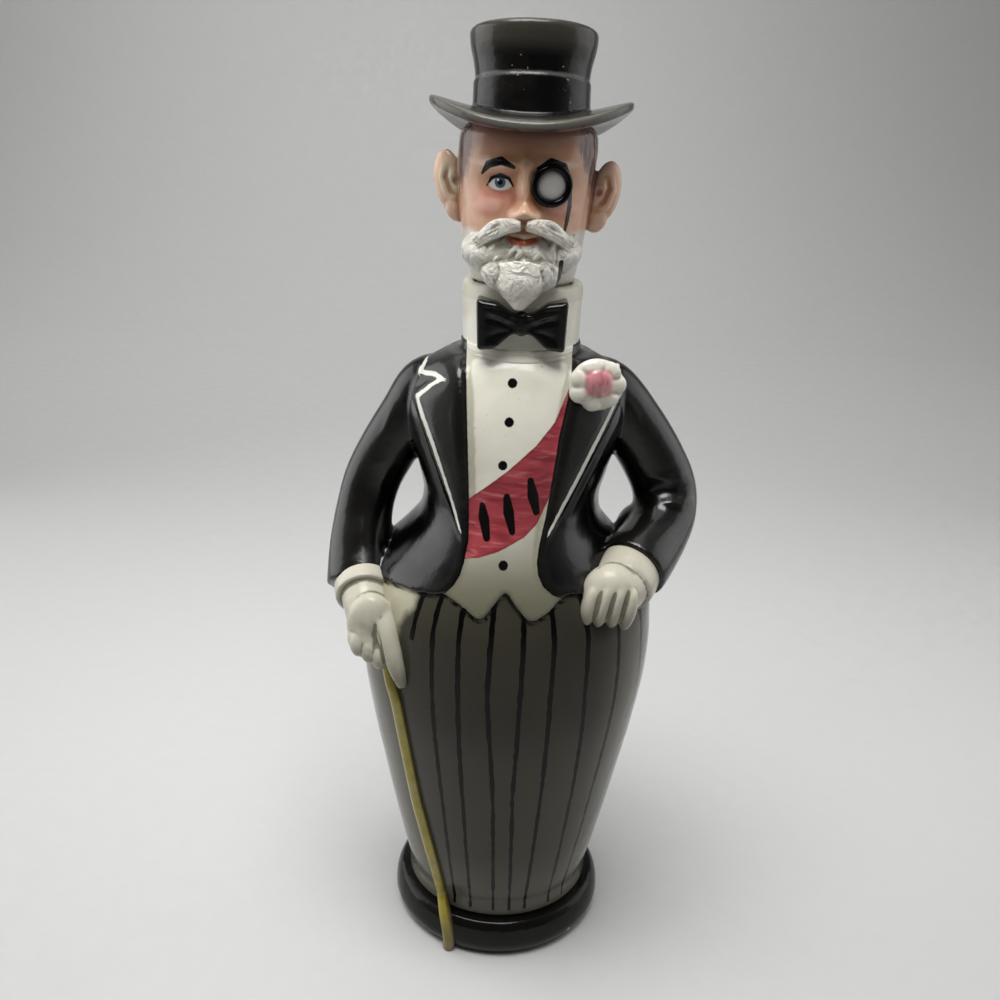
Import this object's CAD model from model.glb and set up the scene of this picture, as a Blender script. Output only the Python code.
# Figural decanter: the carved, painted and glazed look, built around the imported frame.
# The figure is drawn in millimetres, faces -Y and stands on z = 0.
import math
import bpy
import bmesh
import numpy as np
from mathutils import Matrix, Vector


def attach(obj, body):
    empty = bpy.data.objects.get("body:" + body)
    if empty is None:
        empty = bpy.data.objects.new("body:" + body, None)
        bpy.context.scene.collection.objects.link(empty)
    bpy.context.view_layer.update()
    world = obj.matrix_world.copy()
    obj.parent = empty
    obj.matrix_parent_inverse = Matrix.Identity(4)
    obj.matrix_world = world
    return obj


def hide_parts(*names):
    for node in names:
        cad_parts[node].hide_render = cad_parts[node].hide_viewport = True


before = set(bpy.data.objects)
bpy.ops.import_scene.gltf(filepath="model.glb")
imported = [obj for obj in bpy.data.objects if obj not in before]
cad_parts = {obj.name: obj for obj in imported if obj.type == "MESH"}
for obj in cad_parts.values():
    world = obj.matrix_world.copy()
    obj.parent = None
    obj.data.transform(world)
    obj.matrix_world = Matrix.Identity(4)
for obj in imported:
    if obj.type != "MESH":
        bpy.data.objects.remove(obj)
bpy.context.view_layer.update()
mm = 0.001
coarse = 1.0  # bigger clay grain while trying things


# Clay tools

def newObject(name, mesh):
    obj = bpy.data.objects.new(name, mesh)
    bpy.context.scene.collection.objects.link(obj)
    return obj


def freeze(obj, weld=1e-6):  # modifiers and curves become a plain mesh with its place in it
    bpy.context.view_layer.update()
    depsgraph = bpy.context.evaluated_depsgraph_get()
    mesh = bpy.data.meshes.new_from_object(obj.evaluated_get(depsgraph))
    mesh.transform(obj.matrix_world)
    name = obj.name
    bpy.data.objects.remove(obj, do_unlink=True)
    if weld:
        bm = bmesh.new()
        bm.from_mesh(mesh)
        bmesh.ops.remove_doubles(bm, verts=bm.verts, dist=weld)
        bm.to_mesh(mesh)
        bm.free()
    return newObject(name, mesh)


def placesOf(obj):  # x, y, z in millimetres
    places = np.empty(len(obj.data.vertices) * 3)
    obj.data.vertices.foreach_get("co", places)
    return (places.reshape(-1, 3) / mm).T


def movePlaces(obj, x, y, z):
    obj.data.vertices.foreach_set("co", (np.stack([x, y, z], axis=1) * mm).ravel())
    obj.data.update()


def normalsOf(obj):
    normals = np.empty(len(obj.data.vertices) * 3)
    obj.data.vertices.foreach_get("normal", normals)
    return normals.reshape(-1, 3).T


def stationCurve(stations, column, heights):  # smooth values between stations
    knots = np.array([station[0] for station in stations])
    values = np.array([station[column] for station in stations])
    slopes = np.gradient(values, knots)
    heights = np.clip(heights, knots[0], knots[-1])
    k = np.clip(np.searchsorted(knots, heights) - 1, 0, len(knots) - 2)
    span = knots[k + 1] - knots[k]
    t = (heights - knots[k]) / span
    start = (1 + 2 * t) * (1 - t) ** 2 * values[k] + t * (1 - t) ** 2 * span * slopes[k]
    end = t * t * (3 - 2 * t) * values[k + 1] + t * t * (t - 1) * span * slopes[k + 1]
    return start + end


# the share of the way from a to b beside each point, and the distance there
def nearSide(x, z, ax, az, bx, bz):
    dx, dz = bx - ax, bz - az
    t = np.clip(((x - ax) * dx + (z - az) * dz) / (dx * dx + dz * dz), 0.0, 1.0)
    return t, np.hypot(x - ax - t * dx, z - az - t * dz)


def insideOf(x, z, outline):  # distance to an outline, positive inside it
    best = np.full(len(x), 1e9)
    inside = np.zeros(len(x), dtype=bool)
    for (ax, az), (bx, bz) in zip(outline, outline[1:] + outline[:1]):
        best = np.minimum(best, nearSide(x, z, ax, az, bx, bz)[1])
        if az != bz:
            inside ^= ((az > z) != (bz > z)) & (x < ax + (z - az) / (bz - az) * (bx - ax))
    return np.where(inside, best, -best)


def strokeOf(x, z, points):  # how deep inside a painted stroke of (x, z, half width) points
    best = np.full(len(x), -1e9)
    for (ax, az, aw), (bx, bz, bw) in zip(points, points[1:]):
        t, gap = nearSide(x, z, ax, az, bx, bz)
        best = np.maximum(best, aw + (bw - aw) * t - gap)
    return best


def crossOf(x, z, points):  # signed distance across a stroke, and its half width beside each point
    best, width = np.full(len(x), 1e3), np.zeros(len(x))
    for (ax, az, aw), (bx, bz, bw) in zip(points, points[1:]):
        t, gap = nearSide(x, z, ax, az, bx, bz)
        side = np.sign((x - ax) * (bz - az) - (z - az) * (bx - ax))
        near = gap < np.abs(best)
        best = np.where(near, gap * side, best)
        width = np.where(near, aw + t * (bw - aw), width)
    return best, width


def lineOf(x, y, z, points):  # distance to a line of (x, y, z) points, and the share of the way along it
    best = np.full(len(x), 1e9)
    along = np.zeros(len(x))
    for k in range(len(points) - 1):
        start = np.array(points[k][:3])
        step = np.array(points[k + 1][:3]) - start
        ax, ay, az = x - start[0], y - start[1], z - start[2]
        t = np.clip((ax * step[0] + ay * step[1] + az * step[2]) / (step @ step), 0.0, 1.0)
        gap = np.sqrt((ax - t * step[0]) ** 2 + (ay - t * step[1]) ** 2 + (az - t * step[2]) ** 2)
        along = np.where(gap < best, (k + t) / (len(points) - 1), along)
        best = np.minimum(best, gap)
    return best, along


def spread(distance, width):  # a soft bump
    return np.exp(-(distance / width) ** 2)


def stepUp(distance, width=0.45):  # 0 to 1 across an edge
    t = np.clip(0.5 + distance / (2 * width), 0.0, 1.0)
    return t * t * (3 - 2 * t)


def press(obj, strokes):  # carve grooves (height below 0) and ridges along lines of points
    for points, width, height in strokes:
        x, y, z = placesOf(obj)
        nx, ny, nz = normalsOf(obj)
        gap, along = lineOf(x, y, z, points)
        fade = np.sin(np.pi * np.clip(along, 0.04, 0.96)) ** 0.6
        lift = height * spread(gap, width) * fade
        movePlaces(obj, x + nx * lift, y + ny * lift, z + nz * lift)


def setMask(obj, name, values):
    attribute = obj.data.attributes.new(name, "FLOAT", "POINT")
    attribute.data.foreach_set("value", np.asarray(values, dtype=np.float32))


def setHollow(obj, rounds=14):  # where glaze pools: positive in grooves, negative on ridges, in millimetres
    count = len(obj.data.vertices)
    edges = np.empty(len(obj.data.edges) * 2, dtype=np.int64)
    obj.data.edges.foreach_get("vertices", edges)
    a, b = edges.reshape(-1, 2).T
    near = np.maximum(np.bincount(a, minlength=count) + np.bincount(b, minlength=count), 1)
    places = placesOf(obj)
    soft = [axis.copy() for axis in places]
    for k in range(rounds):
        soft = [(np.bincount(a, axis[b], count) + np.bincount(b, axis[a], count)) / near for axis in soft]
    lift = sum((s - p) * n for s, p, n in zip(soft, places, normalsOf(obj)))
    setMask(obj, "hollow", lift)


def lump(name, centre, radii, turn=(0.0, 0.0, 0.0)):
    bm = bmesh.new()
    bmesh.ops.create_uvsphere(bm, u_segments=40, v_segments=26, radius=1.0)
    bm.transform(Matrix.Diagonal(Vector(radii + (1.0 / mm,))) * mm)
    for axis, angle in zip("XYZ", turn):
        bm.transform(Matrix.Rotation(math.radians(angle), 4, axis))
    bm.transform(Matrix.Translation(Vector(centre) * mm))
    mesh = bpy.data.meshes.new(name)
    bm.to_mesh(mesh)
    bm.free()
    return newObject(name, mesh)


def turned(name, profile, steps=96, centre=(0.0, 0.0)):  # (radius, height) pairs from top to bottom
    mesh = bpy.data.meshes.new(name)
    mesh.from_pydata([(r * mm, 0.0, z * mm) for r, z in profile],
                     [(k, k + 1) for k in range(len(profile) - 1)], [])
    obj = newObject(name, mesh)
    obj.location = (centre[0] * mm, centre[1] * mm, 0.0)
    screw = obj.modifiers.new("turn", "SCREW")
    screw.steps = steps
    screw.render_steps = steps
    screw.use_merge_vertices = True
    screw.merge_threshold = 1e-6
    return freeze(obj)


def slab(name, outline, near, far, rounding):  # an outline in x and height, thick along Y
    curve = bpy.data.curves.new(name, "CURVE")
    curve.dimensions = "2D"
    curve.fill_mode = "BOTH"
    spline = curve.splines.new("POLY")
    spline.points.add(len(outline) - 1)
    for knot, (x, z) in zip(spline.points, outline):
        knot.co = (x * mm, z * mm, 0.0, 1.0)
    spline.use_cyclic_u = True
    curve.extrude = (far - near) * mm / 2
    obj = newObject(name, curve)
    obj.rotation_euler = (math.pi / 2, 0.0, 0.0)
    obj.location = (0.0, (far + near) * mm / 2, 0.0)
    obj = freeze(obj)
    bevel = obj.modifiers.new("soft edges", "BEVEL")
    bevel.width = rounding * mm
    bevel.segments = 3
    bevel.limit_method = "ANGLE"
    return freeze(obj)


def fuse(name, forms, grain, smoothing=4, limit=98000):  # work overlapping clay forms into one skin
    bm = bmesh.new()
    for form in forms:
        bm.from_mesh(form.data)
        bpy.data.objects.remove(form, do_unlink=True)
    mesh = bpy.data.meshes.new(name)
    bm.to_mesh(mesh)
    bm.free()
    obj = newObject(name, mesh)
    remesh = obj.modifiers.new("fuse", "REMESH")
    remesh.mode = "VOXEL"
    remesh.voxel_size = grain * mm * coarse
    smooth = obj.modifiers.new("sponge", "SMOOTH")
    smooth.factor = 0.5
    smooth.iterations = smoothing
    obj = freeze(obj, 0)
    quads = len(obj.data.polygons)
    if quads > limit:
        thin = obj.modifiers.new("thin", "DECIMATE")
        thin.ratio = limit / quads
        obj = freeze(obj, 0)
    print("fused", name, quads, "->", len(obj.data.polygons))
    return obj


def cutAway(obj, cutter):
    cut = obj.modifiers.new("hollow", "BOOLEAN")
    cut.operation = "DIFFERENCE"
    cut.solver = "EXACT"
    cut.object = cutter
    return freeze(obj, 0)


# Geometry Nodes trees

def newTree(name, sockets):
    tree = bpy.data.node_groups.new(name, "GeometryNodeTree")
    tree.interface.new_socket("Geometry", in_out="INPUT", socket_type="NodeSocketGeometry")
    for label, kind, value in sockets:
        socket = tree.interface.new_socket(label, in_out="INPUT", socket_type="NodeSocket" + kind)
        if value is not None:
            socket.default_value = value
    tree.interface.new_socket("Geometry", in_out="OUTPUT", socket_type="NodeSocketGeometry")
    return tree, tree.nodes.new("NodeGroupInput").outputs, tree.nodes.new("NodeGroupOutput")


def addNode(tree, kind, links, **settings):  # links: input name or number -> value or output socket
    node = tree.nodes.new(kind)
    for key, value in settings.items():
        setattr(node, key, value)
    for key, value in links.items():
        socket = node.inputs[key]
        if isinstance(value, bpy.types.NodeSocket):
            tree.links.new(value, socket)
        else:
            socket.default_value = value
    return node


def firstOf(tree, kind, links, **settings):  # the first socket that a new node gives
    return addNode(tree, kind, links, **settings).outputs[0]


def sums(tree, operation, a, b=0.0, c=0.0):  # one math node
    return firstOf(tree, "ShaderNodeMath", {0: a, 1: b, 2: c}, operation=operation)


def endTree(tree, geometry, clay, groupOut):  # every tree ends in real geometry with its material
    realize = firstOf(tree, "GeometryNodeRealizeInstances", {"Geometry": geometry})
    coat = firstOf(tree, "GeometryNodeSetMaterial", {"Geometry": realize, "Material": clay})
    smooth = firstOf(tree, "GeometryNodeSetShadeSmooth", {"Geometry": coat})
    tree.links.new(smooth, groupOut.inputs[0])


def grow(obj, tree, values):  # run a tree on an object with its inputs set, and keep the plain mesh
    modifier = obj.modifiers.new(tree.name, "NODES")
    modifier.node_group = tree
    for item in tree.interface.items_tree:
        if item.item_type == "SOCKET" and item.in_out == "INPUT" and item.name in values:
            modifier[item.identifier] = values[item.name]
    return freeze(obj)


def makeLimbTree():  # a round limb along every line of the object, as thick as its girth attribute
    tree, given, groupOut = newTree("Limb", (("Steps", "Int", 24), ("Sides", "Int", 20),
                                             ("Clay", "Material", None)))
    curve = firstOf(tree, "GeometryNodeMeshToCurve", {"Mesh": given["Geometry"]})
    smooth = firstOf(tree, "GeometryNodeCurveSplineType", {"Curve": curve}, spline_type="CATMULL_ROM")
    even = firstOf(tree, "GeometryNodeResampleCurve", {"Curve": smooth, "Count": given["Steps"]})
    ring = firstOf(tree, "GeometryNodeCurvePrimitiveCircle", {"Resolution": given["Sides"], "Radius": 1.0})
    girth = firstOf(tree, "GeometryNodeInputNamedAttribute", {"Name": "girth"}, data_type="FLOAT")
    skin = firstOf(tree, "GeometryNodeCurveToMesh", {"Curve": even, "Profile Curve": ring,
                                                     "Scale": girth, "Fill Caps": True})
    endTree(tree, skin, given["Clay"], groupOut)
    return tree


def makeLockTree():  # a curled lock of hair on every point, turned and sized by attributes
    tree, given, groupOut = newTree("Locks", (("Length", "Float", 0.005), ("Girth", "Float", 0.001),
                                              ("Curl", "Float", 0.001), ("Clay", "Material", None)))
    line = firstOf(tree, "GeometryNodeCurvePrimitiveLine", {"Start": (0, 0, 0), "End": (0, 0, -1)})
    even = firstOf(tree, "GeometryNodeResampleCurve", {"Curve": line, "Count": 12})
    way = firstOf(tree, "GeometryNodeSplineParameter", {})
    sway = sums(tree, "MULTIPLY", sums(tree, "SINE", sums(tree, "MULTIPLY", way, 5.2)), given["Curl"])
    bulge = sums(tree, "MULTIPLY", sums(tree, "SINE", sums(tree, "MULTIPLY", way, math.pi)),
                 sums(tree, "MULTIPLY", given["Curl"], -0.9))
    drop = sums(tree, "MULTIPLY", sums(tree, "MULTIPLY", way, -1.0), given["Length"])
    place = firstOf(tree, "ShaderNodeCombineXYZ", {0: sway, 1: bulge, 2: drop})
    shaped = firstOf(tree, "GeometryNodeSetPosition", {"Geometry": even, "Position": place})
    taper = sums(tree, "SINE", sums(tree, "MULTIPLY_ADD", way, 0.8 * math.pi, 0.16 * math.pi))
    taper = sums(tree, "POWER", taper, 0.8)
    ring = firstOf(tree, "GeometryNodeCurvePrimitiveCircle", {"Resolution": 10, "Radius": 1.0})
    lock = firstOf(tree, "GeometryNodeCurveToMesh", {"Curve": shaped, "Profile Curve": ring,
                                                     "Scale": sums(tree, "MULTIPLY", taper, given["Girth"]),
                                                     "Fill Caps": True})
    turn = firstOf(tree, "GeometryNodeInputNamedAttribute", {"Name": "turn"}, data_type="FLOAT_VECTOR")
    size = firstOf(tree, "GeometryNodeInputNamedAttribute", {"Name": "size"}, data_type="FLOAT_VECTOR")
    rotation = firstOf(tree, "FunctionNodeEulerToRotation", {0: turn})
    points = firstOf(tree, "GeometryNodeMeshToPoints", {"Mesh": given["Geometry"]})
    locks = firstOf(tree, "GeometryNodeInstanceOnPoints", {"Points": points, "Instance": lock,
                                                           "Rotation": rotation, "Scale": size})
    endTree(tree, locks, given["Clay"], groupOut)
    return tree


# the hat's brim: a closed section swept round, rolled up at the sides and dipped in front
def makeBrimTree():
    tree, given, groupOut = newTree("Brim", (("Width", "Float", 0.0316), ("Depth", "Float", 0.029),
                                             ("Inside", "Float", 0.35), ("Thickness", "Float", 0.003),
                                             ("Side Curl", "Float", 0.0056), ("Front Dip", "Float", 0.0046),
                                             ("Clay", "Material", None)))
    grid = firstOf(tree, "GeometryNodeMeshGrid", {"Size X": 1.0, "Size Y": 1.0, "Vertices X": 161,
                                                  "Vertices Y": 65})
    position = firstOf(tree, "GeometryNodeInputPosition", {})
    spot = addNode(tree, "ShaderNodeSeparateXYZ", {0: position}).outputs
    angle = sums(tree, "MULTIPLY", spot["X"], 2 * math.pi)
    section = sums(tree, "MULTIPLY", spot["Y"], 2 * math.pi)
    outward = sums(tree, "MULTIPLY_ADD", sums(tree, "COSINE", section), 0.5, 0.5)
    reach = sums(tree, "MULTIPLY_ADD", outward, sums(tree, "SUBTRACT", 1.0, given["Inside"]),
                 given["Inside"])
    across = sums(tree, "MULTIPLY", reach, sums(tree, "COSINE", angle))
    ahead = sums(tree, "MULTIPLY", reach, sums(tree, "SINE", angle))
    side = sums(tree, "SINE", section)
    round0 = sums(tree, "MULTIPLY", sums(tree, "POWER", sums(tree, "ABSOLUTE", side), 0.45),
                  sums(tree, "SIGN", side))
    lift = sums(tree, "MULTIPLY", round0, sums(tree, "MULTIPLY", given["Thickness"], 0.5))
    roll = sums(tree, "MULTIPLY", sums(tree, "POWER", sums(tree, "ABSOLUTE", across), 2.4),
                given["Side Curl"])
    dip = sums(tree, "MULTIPLY", sums(tree, "POWER", sums(tree, "ABSOLUTE", ahead), 1.8),
               given["Front Dip"])
    high = sums(tree, "ADD", lift, sums(tree, "SUBTRACT", roll, dip))
    place = firstOf(tree, "ShaderNodeCombineXYZ", {0: sums(tree, "MULTIPLY", across, given["Width"]),
                                                   1: sums(tree, "MULTIPLY", ahead, given["Depth"]),
                                                   2: high})
    shaped = firstOf(tree, "GeometryNodeSetPosition", {"Geometry": grid, "Position": place})
    endTree(tree, shaped, given["Clay"], groupOut)
    return tree


clay = bpy.data.materials.new("clay")
limbTree = makeLimbTree()
lockTree = makeLockTree()
brimTree = makeBrimTree()


def limbs(name, lines, steps=24, sides=20):  # each line is (x, y, z, radius) points in millimetres
    mesh = bpy.data.meshes.new(name)
    places, edges, girths = [], [], []
    for line in lines:
        first = len(places)
        places += [(x * mm, y * mm, z * mm) for x, y, z, r in line]
        girths += [r * mm for x, y, z, r in line]
        edges += [(first + k, first + k + 1) for k in range(len(line) - 1)]
    mesh.from_pydata(places, edges, [])
    mesh.attributes.new("girth", "FLOAT", "POINT").data.foreach_set("value", girths)
    return grow(newObject(name, mesh), limbTree, {"Steps": steps, "Sides": sides, "Clay": clay})


# Trunk: the turned and squeezed blank under the dress

trunk = {
    "foot": (42.0, 39.2, 15.0),  # half width, half depth, height
    "stations": ((22, 36.2, 33.4, 35, 0), (45, 41, 38.8, 38.8, 0), (70, 45.9, 42.6, 42.4, 0),
                 (95, 50.4, 46.4, 45.6, 0), (118, 53.3, 49.2, 47.4, 0), (135, 53.2, 50.2, 47, 0),
                 (148, 51.2, 49.2, 44, 0), (157, 46.4, 46.4, 39.6, 0), (166, 37.6, 42, 34, 0),
                 (174, 31, 38.4, 30, 0), (182, 29.4, 35.4, 28.6, 0.2), (192, 31.4, 33.2, 28.6, 0.4),
                 (204, 34.6, 31, 27.6, 0.6), (214, 36, 28.4, 25.6, 0.9), (223, 33.2, 25.2, 22.8, 1.2),
                 (229, 27.4, 22.6, 20.6, 1.5), (233, 20.1, 19.7, 19.7, 1.5)),
    "collar": (19.7, 232.0, 255.0, 3.6, 1.5),  # radius, foot, rim, wall, lean
    "wall": 4.2,
    "floor": 6.5,
}

dress = {
    "hem": ((-60, 151), (-44, 154), (-36, 156.2), (-30, 156.9), (-21, 158.4), (0, 160), (15, 160.6),
            (24, 159.6), (45, 157), (60, 154)),
    "coat relief": 1.7, "lapel relief": 1.3, "waistcoat relief": 0.9, "tuck": 2.2,
    "opening": ((-16.6, 241), (-15.4, 225), (-14.2, 205), (-13.4, 189), (-13.1, 176), (-14.3, 169.1),
                (-15.4, 165.6), (-17.2, 162.5), (-20.3, 159.4), (-24, 157), (-24, 140), (20, 140),
                (20, 158), (17.5, 159.9), (14.6, 161.2), (11.6, 163.8), (9.8, 167.2), (9.3, 171),
                (9.9, 176), (11.6, 184), (13.2, 196), (14.8, 210), (17.6, 224), (19, 241)),
    "waistcoat": ((-40, 175), (-30, 163), (-21, 158.8), (-18.4, 158), (-13.6, 156), (-9.5, 153.1),
                  (-7.4, 153.4), (-4, 157.8), (-0.4, 162.3), (3, 157.8), (6.2, 154.2), (8, 153.2),
                  (9.8, 153.4), (13.5, 155.4), (17.2, 158.6), (21, 160), (30, 163), (40, 175), (40, 250),
                  (-40, 250)),
    "right lapel": ((-16, 240), (-21, 236), (-27, 231.6), (-30.6, 227.4), (-31.9, 224.5), (-25.9, 225.9),
                    (-23.2, 225.4), (-27.2, 222.7), (-32, 218.1), (-30.4, 214.6), (-26.2, 205.5),
                    (-22.9, 197.4), (-19.8, 189.2), (-16.1, 178.8), (-14, 174.8), (-13.2, 176),
                    (-13.4, 189), (-14.2, 205), (-15.4, 225)),
    "left lapel": ((18.6, 240), (25, 236.6), (33, 231.4), (34.8, 227.5), (33.7, 219.7), (26.6, 206.4),
                   (20.7, 194.4), (16, 185.4), (12.4, 178.6), (10.2, 175), (11.6, 184), (13.2, 196),
                   (14.8, 210), (17.6, 224)),
    "tail": ((0.9, 163), (1.2, 150), (3.2, 84), (8, 78), (14.5, 84), (23, 128), (29, 148), (40, 158),
             (40, 200), (0.9, 200)),
}


def coatEdge(x, y, z):  # distance inside the coat's cloth, in front and behind
    hem = z - np.interp(x, *zip(*dress["hem"]))
    front = np.minimum(hem, -insideOf(x, z, dress["opening"]))
    back = np.maximum(insideOf(np.abs(x), z, dress["tail"]), hem)
    return np.where(y < 0.0, front, back)


def depthAt(stations, y, z):  # half depth in front or behind
    return np.where(y < 0, stationCurve(stations, 2, z), stationCurve(stations, 3, z))


def makeBlank(name, stations, low, high, rings, steps):  # a turned blank, squeezed to its stations
    side = [(10.0, high + (low - high) * k / rings) for k in range(rings + 1)]
    obj = turned(name, [(0.0, high)] + side + [(0.0, low)], steps)
    x, y, z = placesOf(obj)
    angle = np.arctan2(y, x)
    middle = np.hypot(x, y) < 1.0
    lean = stationCurve(stations, 4, z)
    depth = depthAt(stations, y, z)
    x = np.where(middle, lean, lean + stationCurve(stations, 1, z) * np.cos(angle))
    return obj, middle, x, np.where(middle, 0.0, depth * np.sin(angle)), z


def makeTrunk(name, low, high, rings, steps, relief):
    obj, middle, x, y, z = makeBlank(name, trunk["stations"], low, high, rings, steps)
    reach = np.maximum(np.hypot(x, y), 12.0)
    ratio = 1.0 + relief(x, y, z) / reach
    movePlaces(obj, x * ratio, y * ratio, z)
    return obj


def lapelEdge(x, z):  # distance inside either lapel
    return np.maximum(insideOf(x, z, dress["right lapel"]), insideOf(x, z, dress["left lapel"]))


def coatRelief(x, y, z):  # the coat and waistcoat stand out, and tuck in below their hems
    tuck = dress["tuck"]
    coat = -tuck + (dress["coat relief"] + tuck) * stepUp(coatEdge(x, y, z))
    shirt = -tuck + (dress["waistcoat relief"] + tuck) * stepUp(insideOf(x, z, dress["waistcoat"]))
    lapel = lapelEdge(x, z)
    roll = dress["lapel relief"] * stepUp(lapel) * (0.55 + 0.45 * np.clip(lapel / 4.0, 0, 1))
    front = np.maximum(coat, shirt * (1.0 - stepUp(z - 178.0, 12.0))) + roll
    return np.where(z > 232.0, 0.0, np.where(y < 0.0, front, coat))


def tailEdge(x, y, z):  # distance inside the coat's two tails
    return np.where(y > 0.0, insideOf(np.abs(x), z, dress["tail"]), -9.0)


def coverEdge(x, y, z):  # distance inside the coat or the waistcoat
    return np.maximum(coatEdge(x, y, z), np.where(y < 0, insideOf(x, z, dress["waistcoat"]), -9.0))


# the trousers tuck in under the coat and waistcoat, and carry the ends of the tails
def trouserRelief(x, y, z):
    over = coverEdge(x, y, z)
    tails = (dress["coat relief"] + 0.2) * stepUp(tailEdge(x, y, z), 0.8)
    return np.where((y > 0.0) & (z < 149.5), tails, -dress["tuck"] * stepUp(over - 1.6))


# The hollow of the body, cut into each of its castings

def makeHollow():
    radius, foot, rim, wall, lean = trunk["collar"]
    bore = radius - wall
    neck = foot - 2.0 * wall
    heights = [neck] + [s[0] for s in reversed(trunk["stations"]) if s[0] < neck] + [trunk["floor"]]
    top = [(0.0, rim + wall), (bore, rim + wall), (bore, foot)]
    obj = turned("hollow", top + [(10.0, z) for z in heights] + [(0.0, trunk["floor"])], 40)
    x, y, z = placesOf(obj)
    angle = np.arctan2(y, x)
    width = stationCurve(trunk["stations"], 1, z) - trunk["wall"]
    depth = depthAt(trunk["stations"], y, z) - trunk["wall"]
    shrink = np.where(z < trunk["floor"] + 0.01, 0.84, 1.0)
    inNeck = (z > neck + 0.01) | (np.hypot(x, y) < 1e-3)
    below = stationCurve(trunk["stations"], 4, z) + width * np.cos(angle) * shrink
    movePlaces(obj, np.where(inNeck, x + lean, below),
               np.where(inNeck, y, depth * np.sin(angle) * shrink), z)
    return obj


hollow = makeHollow()


# Coat: torso, sleeves, lapels and the shirt front in one skin

coat = {
    "grain": 0.885,
    "right sleeve": ((-24, 2, 221, 9.0), (-30, 2, 216.5, 10.8), (-36.2, 3, 206.5, 10.6),
                     (-43.8, 4, 194, 10.4), (-49.8, 4, 182, 10.2), (-52.6, 1, 171, 10.2),
                     (-53.2, -5, 160, 11.2), (-52.2, -11.6, 151, 12.2), (-51.9, -14, 148, 12.2)),
    "left sleeve": ((24, 2, 222, 9.0), (31.5, 2, 217.5, 11.2), (41, 3, 206.5, 11.2), (49.2, 4, 194.5, 11.2),
                    (54.8, 4, 183, 11.4), (55, -1, 174.6, 11.4), (51.2, -9, 168.4, 11.4),
                    (44.6, -19.4, 163.6, 12.2), (42.2, -23.2, 161.9, 12.0)),
    # where the sleeves meet the hem
    "flares": (((-42, -2, 155), (8.4, 11, 9.4)), ((45.5, -2, 166.5), (7.6, 11, 10.6))),
    "folds": (  # lines of points, width, height
        (((-58, -8, 187), (-52, -9, 184.5), (-44, -8, 184)), 1.6, 0.9),
        (((-60, -5, 183.5), (-54, -9, 181.5), (-46, -9, 181)), 1.5, -1.0),
        (((-59, -6, 193), (-52, -9, 190), (-45, -7, 191.5)), 1.8, 0.6),
        (((-49, -10, 180), (-52, -12, 170), (-53, -16, 160)), 2.4, 0.5),
        (((-42, -6, 212), (-44, -7, 203), (-50, -7, 196)), 1.8, 0.5),
        (((64, -3, 192), (57, -8, 189.5), (50, -7, 190)), 1.5, 1.0),
        (((65, -3, 188), (58, -9, 185.5), (51, -8, 186)), 1.5, -1.1),
        (((65, -4, 184), (59, -10, 181.5), (52, -10, 182)), 1.6, 1.0),
        (((63, -10, 180), (56, -17, 176), (48, -24, 172)), 2.2, 0.5),
        (((36, -9, 220), (41, -9, 212), (44, -8, 202)), 2.0, 0.5),
        (((-33, -14, 222), (-29, -20, 210), (-23, -25, 196), (-17, -28, 182)), 1.3, 0.55),
        (((36, -12, 214), (30, -18, 205), (24, -24, 193), (17, -28, 180)), 1.3, 0.55),
        (((-19, -25, 228), (-19.5, -26, 216), (-17.5, -29, 202), (-15.5, -31, 188)), 0.9, 0.45),
        (((21, -24, 222), (18.5, -27, 212), (16.5, -30, 200), (14.5, -32, 188)), 0.9, 0.45),
        (((-29.5, -13, 227.4), (-26, -17, 227.8), (-22.5, -20, 226.8)), 0.9, 0.5),
        (((-28, -14, 226.2), (-25, -18, 226.8), (-22, -20.5, 225.4)), 0.6, -0.6), ),
}


def makeCoat():
    body = makeTrunk("coat trunk", 145.0, 236.0, 180, 480, coatRelief)
    sleeves = limbs("sleeves", [coat["right sleeve"], coat["left sleeve"]], steps=48, sides=40)
    flares = [lump("flare", centre, radii) for centre, radii in coat["flares"]]
    obj = fuse("coat", [body, sleeves] + flares, coat["grain"], 2)
    press(obj, coat["folds"])
    return cutAway(obj, hollow)


coatPiece = makeCoat()
print("coat done", len(coatPiece.data.polygons))


# Trousers, foot and cane

trousers = {
    "cane": ((-40.6, 131), (-39.4, 122), (-37.2, 114), (-35.6, 104), (-33.2, 88), (-30.4, 69),
             (-28.2, 58.5), (-26.3, 49.5), (-24.2, 39), (-22.2, 28), (-21, 20.5)),
    "cane radius": 2.1,
    "cane end": -17.6,
}


def caneLine():
    radius = trousers["cane radius"]
    points = []
    for x, z in trousers["cane"]:
        width, depth = (float(stationCurve(trunk["stations"], k, np.array([z]))[0]) for k in (1, 2))
        points.append((x, -depth * math.sqrt(1 - (x / width) ** 2) - 0.35 * radius, z, radius))
    footWidth, footDepth, footHeight = trunk["foot"]
    x = trousers["cane end"]
    edge = -footDepth * math.sqrt(1 - (x / footWidth) ** 2)
    return points + [(x - 0.8 * radius, edge * 0.93, footHeight, radius * 1.15),
                     (x, edge + 0.2 * radius, footHeight * 0.45, radius * 1.2),
                     (x, edge + 0.4 * radius, 1.4, radius * 1.2)]


def makeTrousers():
    obj = makeTrunk("trousers", 8.0, 170.0, 110, 240, trouserRelief)
    for polygon in obj.data.polygons:
        polygon.use_smooth = True
    return cutAway(obj, hollow)


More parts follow.
